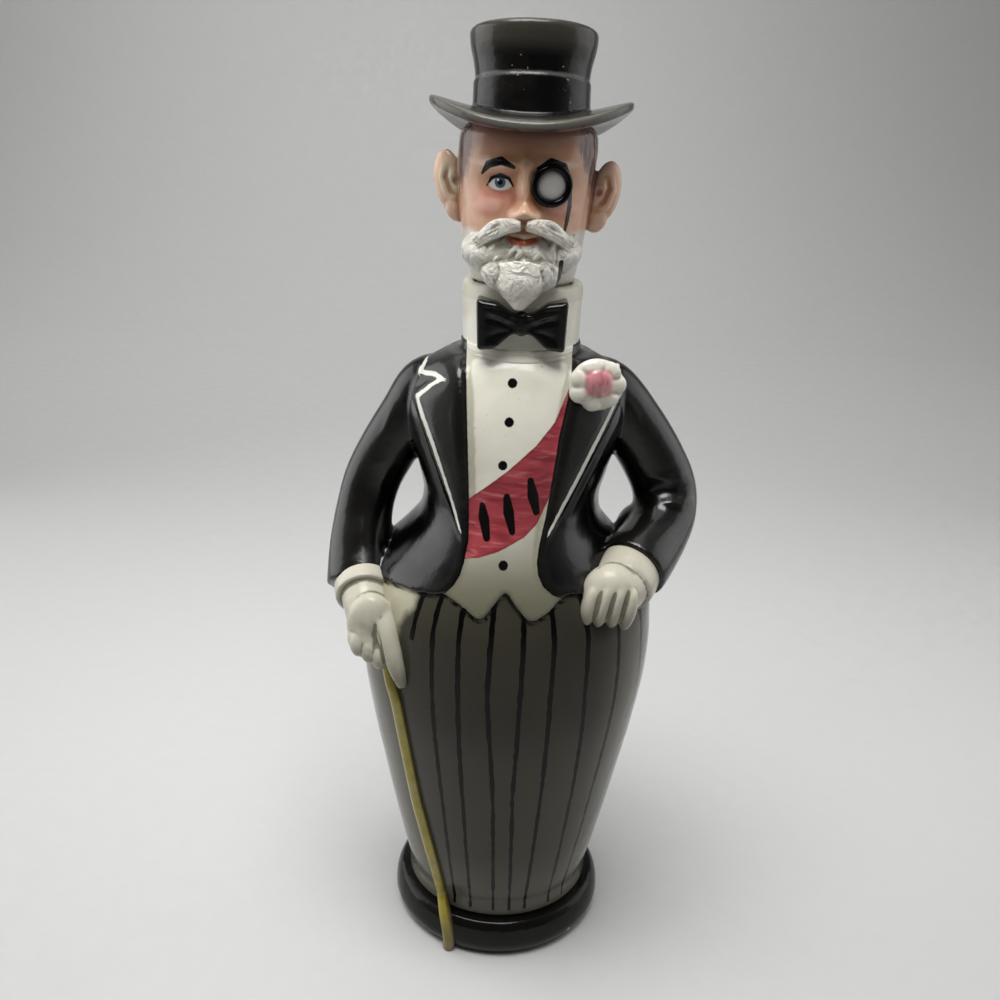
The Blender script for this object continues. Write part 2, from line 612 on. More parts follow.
def makeFoot():
    width, depth, height = trunk["foot"]
    profile = [(0.0, height), (width - 8.0, height), (width - 5.6, height - 0.1)]
    for k in range(13):
        angle = math.radians(84 - 7 * k)
        profile.append((width - 4.2 + 4.2 * math.cos(angle), height * (0.40 + 0.60 * math.sin(angle))))
    profile += [(width - 0.3, 0.3 * height), (width - 1.0, 0.18 * height), (width - 2.1, 0.05 * height),
                (width - 3.0, 0.0), (0.0, 0.0)]
    obj = turned("foot", profile, 160)
    x, y, z = placesOf(obj)
    movePlaces(obj, x, y * depth / width, z)
    return cutAway(obj, hollow)


trouserPiece = makeTrousers()
footPiece = makeFoot()
canePiece = limbs("cane", [caneLine()], steps=90, sides=22)
print("trousers done", len(trouserPiece.data.polygons), len(footPiece.data.polygons))


# Collar, bow tie and flower

neckwear = {
    "bow": ((0, 247.4), (3.2, 247.8), (8, 251), (14.4, 252), (13.8, 235.8), (8.4, 236.4), (3.2, 241.2),
            (0, 241.4)),
    "bow thickness": 3.3,
    "bow folds": (  # (x, height) points, width, height
        (((3.0, 245.2), (7.5, 247.4), (11.2, 248.6)), 0.8, 0.7),
        (((3.2, 243.6), (7.0, 245.2), (11.0, 246.2)), 0.9, -0.55),
        (((3.4, 242.4), (7.0, 241.6), (10.5, 240.2)), 0.9, -0.45),
        (((3.0, 247.4), (3.1, 244.6), (3.0, 241.6)), 0.55, -0.7)),
    "knot": 244.6,
    "flower": (26.2, -22.6, 226.2),
    "grain": 0.36,
}


def makeCollar():
    radius, foot, rim, wall, lean = trunk["collar"]
    inner = radius - wall
    middle, half = radius - wall / 2, wall / 2
    profile = [(inner, foot - 6.0)]
    for k in range(13):
        angle = math.radians(180 - 15 * k)
        profile.append((middle + half * math.cos(angle), rim - half * 0.75 + half * 0.75 * math.sin(angle)))
    profile += [(radius + 0.35, rim - 3.0), (radius + 0.1, rim - 6.0), (radius - 0.3, foot + 3.4),
                (radius + 0.1, foot + 1.6), (radius + 0.9, foot + 0.6), (radius + 1.1, foot - 0.6),
                (radius + 0.7, foot - 2.4), (radius - 0.4, foot - 4.0)]
    obj = turned("collar", profile[::-1], 160, (lean, 0.0))
    for polygon in obj.data.polygons:
        polygon.use_smooth = True
    return obj


def makeBow():
    radius, lean = trunk["collar"][0], trunk["collar"][4]
    front = -(radius + neckwear["bow thickness"])
    half = neckwear["bow"]
    wings = [(lean + x, z) for x, z in half] + [(lean - x, z) for x, z in half[-2:0:-1]]
    forms = [slab("bow", wings, front, 0.45 * front, 1.2),
             lump("knot", (lean, front + 1.3, neckwear["knot"]), (3.0, 1.9, 4.0))]
    obj = fuse("bow", forms, neckwear["grain"], 3, 12000)
    rim = [(lean + x * 0.86, front, 244.2 + (z - 244.2) * 0.80) for x, z in half]
    strokes = []
    for side in (1, -1):
        edge = [(lean + side * (x - lean), y, z) for x, y, z in rim]
        strokes.append((edge, 0.75, 0.42))
        for points, width, height in neckwear["bow folds"]:
            strokes.append(([(lean + side * x, front, z) for x, z in points], width, height))
    press(obj, strokes)
    return obj


def makeFlower():
    x, y, z = neckwear["flower"]
    forms = [lump("flower", (x, y, z), (9.4, 3.2, 8.4), (4, 30, 16))]
    for k in range(7):  # a softly ruffled rim
        angle = 2 * math.pi * k / 7
        across, up = math.cos(angle), math.sin(angle)
        forms.append(lump("ruffle", (x + 5.6 * across, y - 0.6 + 1.7 * across, z + 5.0 * up),
                          (3.9, 2.2, 3.7)))
    forms.append(lump("heart", (x + 0.4, y - 2.5, z + 1.3), (4.6, 1.9, 4.2), (0, 12, 16)))
    obj = fuse("flower", forms, neckwear["grain"], 5, 9000)
    folds = []
    for k in range(7):
        angle = 2 * math.pi * (k + 0.5) / 7
        across, up = math.cos(angle), math.sin(angle)
        folds.append((((x + 5.0 * across, y - 3.6 + 1.5 * across, z + 4.6 * up),
                       (x + 8.6 * across, y - 1.2 + 2.4 * across, z + 7.4 * up)), 0.8, -0.5))
    press(obj, folds)
    return obj


collarPiece = makeCollar()
bowPiece = makeBow()
flowerPiece = makeFlower()
print("neckwear done")


# Gloved hands with their cuffs

hands = {
    "grain": 0.52,
    "right cuff": ((-51.8, -12, 150.5, 10.4), (-50.4, -19, 148.9, 10.2), (-49.6, -22.6, 147.8, 9.9)),
    "left cuff": ((42.4, -22, 162, 10.8), (39.8, -28, 160.1, 10.7), (38.4, -31, 159.2, 10.3)),
    "right index": ((-42.6, -29, 148, 3.6), (-40.6, -34.2, 142, 3.8), (-38.2, -37.6, 134.6, 3.4),
                    (-36.2, -38.6, 127.6, 2.8), (-34.6, -37.8, 121.6, 2.0)),
}


def frontOf(obj, points):  # (x, height) points laid on the front of a piece
    x, y, z = placesOf(obj)
    return [(px, y[np.argsort(np.hypot(x - px, z - pz))[:12]].min(), pz) for px, pz in points]


def makeHands():
    forms = [
        lump("right palm", (-46.2, -29.8, 140.6), (8.6, 6.4, 12.6), (9, 3, 0)),
        lump("right knuckles", (-47.0, -31.8, 136.2), (7.4, 5.4, 7.0), (0, 14, 0)),
        lump("left fist", (34.0, -36.0, 159.4), (9.3, 7.6, 10.2), (0, 14, 0)),
        limbs("wrists", [((-49.6, -21, 147.6, 8.6), (-48.8, -24.6, 146.2, 8.0), (-47.6, -27.8, 143, 7.6),
                          (-47, -29.6, 139, 7.2), (-46.8, -30.2, 135.8, 6.2)),
                         ((39.4, -29, 160, 9.2), (37.6, -32, 159.6, 9.2), (36, -34, 159.2, 8.8))], 12, 24),
        limbs("cuffs", [hands["right cuff"], hands["left cuff"]], 16, 40),
        limbs("index", [hands["right index"]], 24, 20),
    ]
    for k in range(3):  # curled fingers round the cane
        forms.append(lump("right finger", (-50.2 + 3.8 * k, -33.2 - 0.9 * k, 135.6 - 1.9 * k),
                          (3.2, 4.4, 5.4), (-8, 0, 0)))
    for k in range(4):
        place = (27.0 + 4.4 * k, -40.6 + 0.9 * abs(k - 1.4), 156.4 - 0.6 * (k - 1.4) ** 2)
        forms.append(lump("left finger", place, (2.7, 3.9, 8.4), (10, 8, 0)))
    obj = fuse("hands", forms, hands["grain"], 6, 24000)
    strokes = []
    for k in range(3):  # grooves between the fingers of the fist
        x = 29.2 + 4.4 * k
        strokes.append((frontOf(obj, ((x + 1.7, 164), (x + 0.9, 160), (x + 0.2, 156), (x - 0.3, 152.4))),
                        0.8, -0.65))
    strokes.append((frontOf(obj, ((-43.4, 143.4), (-42.4, 138.6), (-41.4, 134), (-40.6, 130))), 0.8, -0.7))
    # cuff creases
    strokes.append((((-58, -18, 147.2), (-54.6, -27, 147.2), (-48.5, -32, 147.4), (-41.4, -31, 149)), 0.8,
                    -1.0))
    strokes.append((((27, -30, 169.4), (31.7, -38, 166.6), (38.3, -39, 163), (43.4, -34, 158.4),
                     (46, -28, 155)), 0.8, -1.0))
    for k in range(3):  # light tendons over the back of the hand
        strokes.append((frontOf(obj, ((-49.4 + 3.0 * k, 147), (-49.0 + 3.0 * k, 143.5),
                                      (-48.8 + 3.0 * k, 140))), 0.9, 0.3))
    press(obj, strokes)
    x, y, z = placesOf(obj)
    setMask(obj, "turned under", np.where(x > 0, (158 - z) / 9, (137 - z) / 14))
    return obj


handPiece = makeHands()
print("hands done", len(handPiece.data.polygons))


# The body casting is one joined piece

def joinAll(name, pieces):
    bpy.ops.object.select_all(action="DESELECT")
    for piece in pieces:
        piece.select_set(True)
    bpy.context.view_layer.objects.active = pieces[0]
    bpy.ops.object.join()
    joined = bpy.context.view_layer.objects.active
    joined.name = name
    return joined


# Head: skull, features and ears in one skin

head = {
    "stations": ((252, 15.2, 15.2, 15.4, 1.3), (256, 16.9, 17.0, 17.2, 1.2), (261, 18.2, 19.0, 17.8, 1.0),
                 (267, 19.4, 20.2, 18.6, 0.9), (273, 20.2, 20.6, 19.6, 0.9), (281, 20.8, 20.4, 20.8, 1.0),
                 (289, 21.5, 20.6, 21.6, 1.2), (296, 21.8, 20.4, 21.6, 1.5), (301, 20.6, 19.2, 20.4, 1.7),
                 (305, 16, 15, 16, 1.9)),
    "middle": 1.0,
    "face": (  # x, z, width, height, rise off the skull
        (0, 290.6, 2.4, 3.2, 1.2), (0, 284, 2.1, 5.2, 2.6), (0, 277.8, 3.0, 2.5, 4.6),
        (-2.9, 276.6, 1.7, 1.6, 1.9), (2.9, 276.6, 1.7, 1.6, 1.9), (-8.2, 291.4, 5.4, 1.9, 1.5),
        (8.2, 291.4, 5.4, 1.9, 1.5), (-7.6, 286, 4.4, 3.0, -1.9), (7.6, 286, 4.4, 3.0, -1.9),
        (-7.6, 285.8, 2.9, 1.8, 1.5), (7.6, 285.8, 2.9, 1.8, 1.5), (-11, 279.6, 5.2, 3.8, 1.5),
        (11, 279.6, 5.2, 3.8, 1.5), (0, 271.2, 3.4, 0.9, 1.2), (0, 269, 2.7, 1.0, 1.3),
        (0, 262, 6.5, 4.5, 1.2)),
    "ear": (1.7, 25.2, 285.0),  # middle between the ears, how far out each one is, height of the left one
    "ear lines": (  # points out from the ear's middle, width, height
        (((-3.4, -1.5, 6.8), (-0.4, -1.2, 8.0), (2.6, 0.0, 5.6), (2.9, 0.6, 0.6), (0.6, 0.0, -4.6),
          (-1.6, -1.0, -7.4)), 1.2, 0.6),
        (((-2.2, -1.6, 5.0), (0.6, -0.8, 4.4), (1.1, 0.0, 1.0), (-0.6, -0.4, -3.0), (-2.6, -1.2, -4.4)),
         1.0, -0.9),
        (((-2.4, -1.4, 1.4), (-2.0, -1.2, -1.6)), 1.4, -1.1),
        (((-0.8, -0.9, 2.8), (-1.2, -0.9, -0.6)), 0.7, 0.6)),
    "eye": 7.6,
    "eye lines": (  # the same out from the eye, for the lids and the folds round them
        (((-3.6, -21.6, 285.6), (-1.6, -22.4, 287.4), (0.8, -22.2, 287.7), (3.6, -20.6, 286.2)), 0.55, 0.5),
        (((-3.4, -21.4, 287.0), (-1.2, -22.2, 289.0), (1.4, -21.8, 289.1), (4.2, -19.6, 287.4)), 0.5,
         -0.45),
        (((-3.2, -21.4, 285.0), (0, -22.4, 283.9), (3.2, -20.8, 284.8)), 0.5, 0.4),
        (((-3.4, -21.0, 283.4), (0, -21.8, 282.2), (3.6, -20.0, 283.2)), 0.6, -0.3)),
    "nose wing": (((3.6, -23.6, 278.8), (4.7, -22.6, 276.8), (4.0, -23.0, 275.2)), 0.6, -0.55),
    "middle lines": (  # the same on both sides of the face's middle: the mouth and the forehead
        (((-3.2, -23.0, 270.1), (0, -23.8, 270.3), (3.2, -23.0, 270.1)), 0.45, -0.6),
        (((-10, -20.2, 296.6), (0, -21.8, 297.0), (10, -20.2, 296.6)), 0.8, -0.25)),
    "grain": 0.4,
    "plug": (15.6, 235.3, 3.4),  # radius, lower end, wall
}


def faceLift(x, z):
    rise = np.zeros(len(x))
    for cx, cz, w, h, height in head["face"]:
        rise += height * np.exp(-((x - head["middle"] - cx) / w) ** 2 - ((z - cz) / h) ** 2)
    return rise


def makeSkull():
    obj, middle, x, y, z = makeBlank("skull", head["stations"], 252.0, 305.0, 130, 320)
    front = stepUp(-y - 6.0, 5.0)
    y = y - np.where(middle, 0.0, faceLift(x, z) * front)
    movePlaces(obj, x, y, z)
    return obj


def laidOut(stroke, middle, side=1, base=0.0):  # one stroke's points out from a middle towards one side
    points, width, height = stroke
    return [(middle + x * side, y, base + z) for x, y, z in points], width, height


def makeHead():
    between, out, high = head["ear"]
    forms, strokes = [makeSkull()], []
    for side in (1, -1):
        drop = 1 + side  # the ear with the eyeglass sits lower
        forms.append(lump("ear", (between + out * side, 2.6, high - drop), (5.4, 2.4, 9.6),
                          (0, 12 * side, 30 * side)))
        forms.append(lump("lobe", (between + 22.0 * side, 2.0, 277.6 - drop), (4.2, 2.6, 5.4)))
        forms.append(lump("ear root", (1.5 + 20.8 * side, 2.6, 283.4 - drop), (4.2, 3.2, 8.4)))
        place = between + out * side
        strokes += [laidOut(stroke, place, side, high - drop) for stroke in head["ear lines"]]
    obj = fuse("head", forms, head["grain"], 3, 46000)
    middle = head["middle"]
    for side in (1, -1):
        strokes += [laidOut(stroke, middle + head["eye"] * side, side) for stroke in head["eye lines"]]
        strokes.append(laidOut(head["nose wing"], middle, side))
    strokes += [laidOut(stroke, middle) for stroke in head["middle lines"]]
    press(obj, strokes)
    return obj


def makePlug():  # the hollow stopper end below the beard, with the collar seat it rests on
    radius, low, wall = head["plug"]
    profile = [(radius - wall, 262.0), (radius - wall, low + 0.6), (radius - wall + 0.6, low),
               (radius - 1.2, low), (radius - 0.4, low + 0.4), (radius, low + 1.4), (radius, 255.3),
               (radius - 1.4, 262.0)]
    obj = turned("plug", profile[::-1], 96, (trunk["collar"][4], 0.0))
    return obj


def makeSeat():  # what is kept clear for the collar and its bow
    radius, foot, rim, wall, lean = trunk["collar"]
    gap = 0.45
    inner = radius - wall - 0.35
    top = rim + gap
    obj = turned("seat", [(inner, top), (radius + 1.6, top), (radius + 1.6, foot - 4.0),
                          (inner, foot - 4.0), (inner, top)], 96, (lean, 0.0))
    return obj


def makeBowRoom():
    return slab("bow room", ((-19.9, 231.8), (19.9, 231.8), (19.9, 252.3), (-19.9, 252.3)), -23.3, -9.3,
                0.3)


# Beard and moustache

beard = {
    "grain": 0.38,
    "locks": {"Length": 0.0052, "Girth": 0.0008, "Curl": 0.0011},
    "seed": 5,
}


def makeLocks():
    rng = np.random.default_rng(beard["seed"])
    mesh = bpy.data.meshes.new("locks")
    places, turns, sizes = [], [], []
    for row in range(7):
        count = 13 - row
        for k in range(count):
            share = 0.0 if count == 1 else 2.0 * k / (count - 1) - 1.0
            wide = 16.4 - 1.85 * row
            x = 0.8 + wide * share + rng.uniform(-0.3, 0.3)
            y = -22.0 + 8.6 * share ** 2 * (1 - 0.05 * row) - 0.30 * row
            z = 269.9 - 2.6 * row + 1.0 * share ** 2 + rng.uniform(-0.35, 0.35)
            places.append((x * mm, y * mm, z * mm))
            turns.append((rng.uniform(-0.12, 0.12) - 0.1, rng.uniform(-0.1, 0.1) - 0.35 * share,
                          rng.uniform(-0.5, 0.5) + (0.0 if k % 2 else math.pi)))
            size = rng.uniform(0.8, 1.05) * (1.0 - 0.035 * row) * (1.0 - 0.3 * share ** 2)
            sizes.append((size, size, size * rng.uniform(0.9, 1.1)))
    mesh.from_pydata(places, [], [])
    mesh.attributes.new("turn", "FLOAT_VECTOR", "POINT").data.foreach_set("vector", np.array(turns).ravel())
    mesh.attributes.new("size", "FLOAT_VECTOR", "POINT").data.foreach_set("vector", np.array(sizes).ravel())
    values = dict(beard["locks"])
    values["Clay"] = clay
    return grow(newObject("locks", mesh), lockTree, values)


def makeBeard():
    forms = [lump("beard", (0.5, -10.8, 265.4), (19.2, 12.2, 9.4)),
             lump("chin", (0.7, -17.6, 260), (12.6, 6.6, 8.0)), makeLocks()]
    forms.append(limbs("point", [((0.6, -18.4, 260, 8.6), (0.5, -21.6, 254.6, 6.6),
                                  (0.4, -24.4, 249.4, 1.4))], 20, 24))
    lobes = []
    for side in (1, -1):
        lobes.append(((0.9 + 0.7 * side, -23.4, 274.4, 1.7), (0.9 + 5.8 * side, -22.6, 273.8, 2.5),
                      (0.9 + 11.0 * side, -19.6, 271.0, 2.3),
                      (0.9 + 14.8 * side, -15.8, 267.4, 0.9)))
        for k in range(3):
            spot = 3.2 - 2.2 * k
            lobes.append(((0.9 + 3.6 * side, -24.2 - 0.3 * k, 275.6 - 1.1 * k, 0.8),
                          (0.9 + 8.6 * side, -22.8, 274.8 - 1.7 * k, 1.1),
                          (0.9 + 13.2 * side, -18.6, 271.0 - 1.5 * k, 0.8),
                          (0.9 + (15.6 + 0.2 * spot) * side, -15.2, 268.6 - 1.9 * k, 0.4)))
    forms.append(limbs("moustache", lobes, 30, 16))
    obj = fuse("beard", forms, beard["grain"], 6, 42000)
    strokes = []
    for side in (1, -1):  # strands of the moustache
        for k in range(4):
            strokes.append(([(0.9 + 2.2 * side, -26.0, 275.4 - 1.0 * k),
                             (0.9 + 6.6 * side, -25.6, 275.0 - 1.1 * k),
                             (0.9 + 11.2 * side, -22.2, 272.2 - 1.2 * k),
                             (0.9 + 15.4 * side, -17.0, 268.6 - 1.0 * k)], 0.42, -0.42))
    rng = np.random.default_rng(beard["seed"] + 1)
    for k in range(26):  # strands between the locks
        x = 0.8 + rng.uniform(-13, 13)
        z = rng.uniform(253, 269)
        y = -25.0 + 9.0 * ((x - 0.8) / 15) ** 2
        bend = rng.uniform(-1.4, 1.4)
        strokes.append(([(x, y, z + 2.4), (x + bend, y - 0.6, z), (x - 0.4 * bend, y, z - 2.6)], 0.45,
                        -0.35))
    press(obj, strokes)
    return obj


# Top hat

hat = {
    "lean": 1.9, "line": 303.0, "tip back": -7.0, "tilt": 0.3,
    "brim": {"Width": 0.0316, "Depth": 0.029, "Inside": 0.35, "Thickness": 0.0044, "Side Curl": 0.0056,
             "Front Dip": 0.0046},
    "crown": ((0, 329.6), (12, 329.4), (17, 329.2), (18.6, 328.9), (19.3, 328.3), (19.6, 327.4),
              (19.5, 325.6), (19.15, 323.4), (18.65, 321.4), (18.2, 319.6), (17.9, 317.8), (17.7, 316),
              (17.6, 314.9), (17.7, 314.5), (18.0, 314.3), (18.1, 313.8), (18.15, 311), (18.2, 307),
              (18.3, 303), (15, 298), (0, 298)),
    "grain": 0.46,
}


def maskHat(obj):  # before the hat is tipped back
    x, y, z = placesOf(obj)
    nx, ny, nz = normalsOf(obj)
    across = x - hat["lean"]
    radius = np.hypot(across, y)
    crown = (radius < 20.5) & (z > hat["line"] - 3)
    rim = np.hypot(across / 31.6, y / 29.0)
    worn = np.maximum(stepUp(z - 321, 5), np.abs(across) ** 3 / 19.0 ** 3 * 0.8)
    setMask(obj, "worn", np.where(crown, worn, 0.25 + 0.5 * stepUp(rim - 0.8, 0.2)))
    setMask(obj, "lip", np.where(crown, -3, (rim - 0.955) * 30))
    setMask(obj, "band line", np.where(crown & (np.abs(nz) < 0.9), 0.6 - np.abs(z - 314.6), -3))
    setMask(obj, "under", np.where(crown & (radius < 20.0) & (z > hat["line"] + 1.5), -3, -nz * 4 - 1.2))
    setMask(obj, "side", np.abs(across) / 31.6)


def makeHat():
    brim = grow(newObject("brim", bpy.data.meshes.new("brim")), brimTree, dict(hat["brim"], Clay=clay))
    x, y, z = placesOf(brim)
    movePlaces(brim, x + hat["lean"], y, z + hat["line"])
    forms = [turned("crown", list(hat["crown"]), 160, (hat["lean"], 0.0)), brim]
    obj = fuse("hat", forms, hat["grain"], 2, 46000)
    maskHat(obj)
    pivot = Matrix.Translation(Vector((hat["lean"], 0.0, hat["line"])) * mm)
    tip = Matrix.Rotation(math.radians(hat["tip back"]), 4, "X")
    tilt = Matrix.Rotation(math.radians(hat["tilt"]), 4, "Y")
    obj.data.transform(pivot @ tilt @ tip @ pivot.inverted())
    return obj


# Eyeglass on its cord

eyeglass = {"centre": (8.9, -20.6, 285.8), "radius": 5.2, "rim": 1.1, "turn": 0.34, "glass depth": 1.7}


def makeEyeglass():
    cx, cy, cz = eyeglass["centre"]
    ring = []
    for k in range(36):
        angle = 2 * math.pi * k / 36
        dx, dz = eyeglass["radius"] * math.cos(angle), eyeglass["radius"] * math.sin(angle)
        ring.append((cx + dx, cy + eyeglass["turn"] * dx, cz + dz, eyeglass["rim"]))
    rim = limbs("eyeglass rim", [ring + ring[:3]], 130, 16)
    glass = lump("glass", (cx, cy + eyeglass["glass depth"], cz),
                 (eyeglass["radius"], 2.0, eyeglass["radius"]), (0, 0, 19))
    return rim, glass


seat, bowRoom = makeSeat(), makeBowRoom()
skullPiece = cutAway(makeHead(), seat)
beardPiece = cutAway(cutAway(makeBeard(), seat), bowRoom)
hatPiece = makeHat()
rimPiece, glassPiece = makeEyeglass()
plugPiece = makePlug()
for helper in (hollow, seat, bowRoom):
    bpy.data.objects.remove(helper, do_unlink=True)
print("head done")


# Painted glaze

def tint(red, green, blue):  # screen colour, 0 to 255
    return tuple((level / 255) ** 2.2 for level in (red, green, blue)) + (1.0,)


def inkOf(colour):  # a name from the list of paints, screen levels, or what already is a colour or a socket
    if isinstance(colour, str):
        colour = ceramic[colour]
    return tint(*colour) if isinstance(colour, tuple) and len(colour) == 3 else colour


# a glossy painted surface and its first colour
def newGlaze(name, colour, roughness=0.13, coat=0.0, shine=0.5):
    material = bpy.data.materials.new(name)
    material.use_nodes = True
    tree = material.node_tree
    shader = tree.nodes["Principled BSDF"]
    shader.inputs["Coat Weight"].default_value = coat
    shader.inputs["Coat Roughness"].default_value = 0.04
    shader.inputs["Specular IOR Level"].default_value = shine
    place = tree.nodes.new("ShaderNodeTexCoord").outputs["Object"]
    glaze = {"material": material, "tree": tree, "shader": shader, "place": place, "colour": inkOf(colour),
             "bumps": []}
    uneven = mapTo(glaze, noise(glaze, 90, 4, 0.4), 0.3, 0.7, roughness * 0.75, roughness * 1.35)
    tree.links.new(uneven, shader.inputs["Roughness"])
    return glaze


def attribute(glaze, name):
    return addNode(glaze["tree"], "ShaderNodeAttribute", {}, attribute_name=name).outputs["Fac"]


# scale is per metre
def noise(glaze, scale, detail=3.0, distortion=0.0, stretch=(1, 1, 1), turn=(0, 0, 0)):
    tree = glaze["tree"]
    angles = tuple(math.radians(angle) for angle in turn)
    mapped = firstOf(tree, "ShaderNodeMapping", {"Vector": glaze["place"], "Scale": stretch,
                                                 "Rotation": angles})
    links = {"Vector": mapped, "Scale": scale, "Detail": detail, "Distortion": distortion}
    return addNode(tree, "ShaderNodeTexNoise", links).outputs["Fac"]


def mapTo(glaze, value, low, high, start=0.0, end=1.0):
    links = {"Value": value, "From Min": low, "From Max": high, "To Min": start, "To Max": end}
    return addNode(glaze["tree"], "ShaderNodeMapRange", links, interpolation_type="SMOOTHSTEP").outputs[0]


def math2(glaze, operation, a, b=0.0, c=0.0):
    return sums(glaze["tree"], operation, a, b, c)


def axisOf(glaze, letter):
    return addNode(glaze["tree"], "ShaderNodeSeparateXYZ", {0: glaze["place"]}).outputs["XYZ".index(letter)]


def paint(glaze, mask, colour):  # lay a colour, or another mixed socket, over what is there
    mix = addNode(glaze["tree"], "ShaderNodeMix", {"Factor": mask, 6: glaze["colour"], 7: inkOf(colour)},
                  data_type="RGBA")
    glaze["colour"] = mix.outputs[2]


def cloud(glaze, colour, low, high, strength, *pattern):  # patches where a noise pattern rises
    paint(glaze, mapTo(glaze, noise(glaze, *pattern), low, high, 0.0, strength), colour)


def fade(glaze, colour, name, low, high, strength=1.0):  # shading that follows an attribute
    paint(glaze, mapTo(glaze, attribute(glaze, name), low, high, 0.0, strength), colour)


def shadeUp(glaze, colour, low, high, strength):  # shading that follows the height in metres
    paint(glaze, mapTo(glaze, axisOf(glaze, "Z"), low, high, 0.0, strength), colour)


# a mask from a distance attribute, with a brush's uneven edge
def brushed(glaze, name, edge=0.12, wander=0.0, scale=500):
    value = attribute(glaze, name)
    if wander:
        value = math2(glaze, "MULTIPLY_ADD", noise(glaze, scale, 2), 2 * wander,
                      math2(glaze, "SUBTRACT", value, wander))
    return mapTo(glaze, value, -edge, edge)


def daub(glaze, colour, name, edge=0.12, wander=0.0, scale=500, strength=1.0):  # one brushed mark
    mask = brushed(glaze, name, edge, wander, scale)
    if strength < 1.0:
        mask = math2(glaze, "MULTIPLY", mask, strength)
    paint(glaze, mask, colour)


# unevenness of the glaze, heights in metres
def ripple(glaze, height, scale, detail=2.0, stretch=(1, 1, 1)):
    glaze["bumps"].append((noise(glaze, scale, detail, 0.0, stretch), height))


def finishGlaze(glaze):
    tree, shader = glaze["tree"], glaze["shader"]
    tree.links.new(glaze["colour"], shader.inputs["Base Color"])
    normal = None
    for height, distance in glaze["bumps"]:
        links = {"Height": height, "Distance": distance, "Strength": 1.0}
        if normal:
            links["Normal"] = normal
        normal = addNode(tree, "ShaderNodeBump", links).outputs[0]
    if normal:
        tree.links.new(normal, shader.inputs["Normal"])
    return glaze["material"]


ceramic = {
    "black": (8, 8, 8), "ink": (16, 13, 12), "black edge": (34, 33, 30), "cream": (222, 219, 205),
    "cream shade": (188, 184, 164), "sash": (154, 66, 72), "sash dark": (114, 42, 48),
    "sash light": (188, 112, 112), "trousers": (72, 70, 63), "trousers dark": (52, 50, 43),
    "trousers light": (108, 106, 96), "glove": (192, 187, 170), "glove shade": (108, 106, 88),
    "cane": (148, 134, 52), "cane shade": (74, 62, 30), "cane light": (150, 140, 108),
    "pink": (203, 138, 142), "pink deep": (176, 96, 102), "skin": (198, 152, 124),
    "skin tan": (180, 130, 94), "blush": (192, 106, 100), "lips": (176, 92, 68), "hair": (112, 84, 78),
    "beard": (204, 200, 188), "beard shade": (140, 134, 120), "ear green": (176, 172, 144),
    "ear brown": (166, 124, 98), "hat": (14, 13, 13), "hat light": (62, 60, 53), "brim lip": (80, 78, 72),
    "mauve": (98, 74, 68),
}


def makeDressGlaze():  # coat, shirt, sash, studs and piping
    glaze = newGlaze("dress glaze", "black", 0.18, 0.0, 0.44)
    cloud(glaze, (24, 22, 20), 0.5, 0.8, 0.5, 30, 4, 0.6)
    fade(glaze, "black edge", "hollow", -0.03, -0.14, 0.45)
    cloud(glaze, (46, 44, 40), 0.66, 0.72, 0.35, 1400, 2)
    piping = math2(glaze, "SUBTRACT", attribute(glaze, "piping width"),
                   math2(glaze, "ABSOLUTE", attribute(glaze, "piping")))
    piping = math2(glaze, "ADD", piping, mapTo(glaze, noise(glaze, 500, 2), 0.3, 0.7, -0.08, 0.08))
    piping = math2(glaze, "MINIMUM", piping, math2(glaze, "ADD", attribute(glaze, "piping near"), 0.7))
    paint(glaze, mapTo(glaze, piping, -0.12, 0.12), (214, 212, 202))
    daub(glaze, (40, 41, 39), "lapel", 1.2, 0.3, strength=0.8)
    shirt = newGlazeLayer(glaze, "cream")
    cloud(shirt, "cream shade", 0.35, 0.75, 0.45, 45, 4, 0.5)
    fade(shirt, (150, 146, 120), "hollow", 0.03, 0.2, 0.6)
    shadeUp(shirt, (98, 96, 78), 0.196, 0.158, 0.95)
    cloud(shirt, (150, 140, 118), 0.70, 0.76, 0.5, 900, 2)
    sash = newGlazeLayer(glaze, "sash")
    cloud(sash, "sash dark", 0.42, 0.66, 0.75, 170, 4, 0.5, (0.28, 1, 1.6), (0, -52, 0))
    cloud(sash, "sash light", 0.54, 0.72, 0.7, 260, 3, 0.3, (0.22, 1, 1.8), (0, -50, 0))
    fade(sash, "sash dark", "sash", 0.9, 0.1, 0.55)
    daub(shirt, sash["colour"], "sash", 0.16, 0.12)
    daub(shirt, "ink", "ink", 0.16, 0.12)
    daub(glaze, shirt["colour"], "shirt", 0.14, 0.08)
    ripple(glaze, 0.00016, 170)
    ripple(glaze, 0.00002, 1500)
    return finishGlaze(glaze)


def newGlazeLayer(glaze, colour):  # a second colour chain that shares the first one's nodes
    return dict(glaze, colour=inkOf(colour))


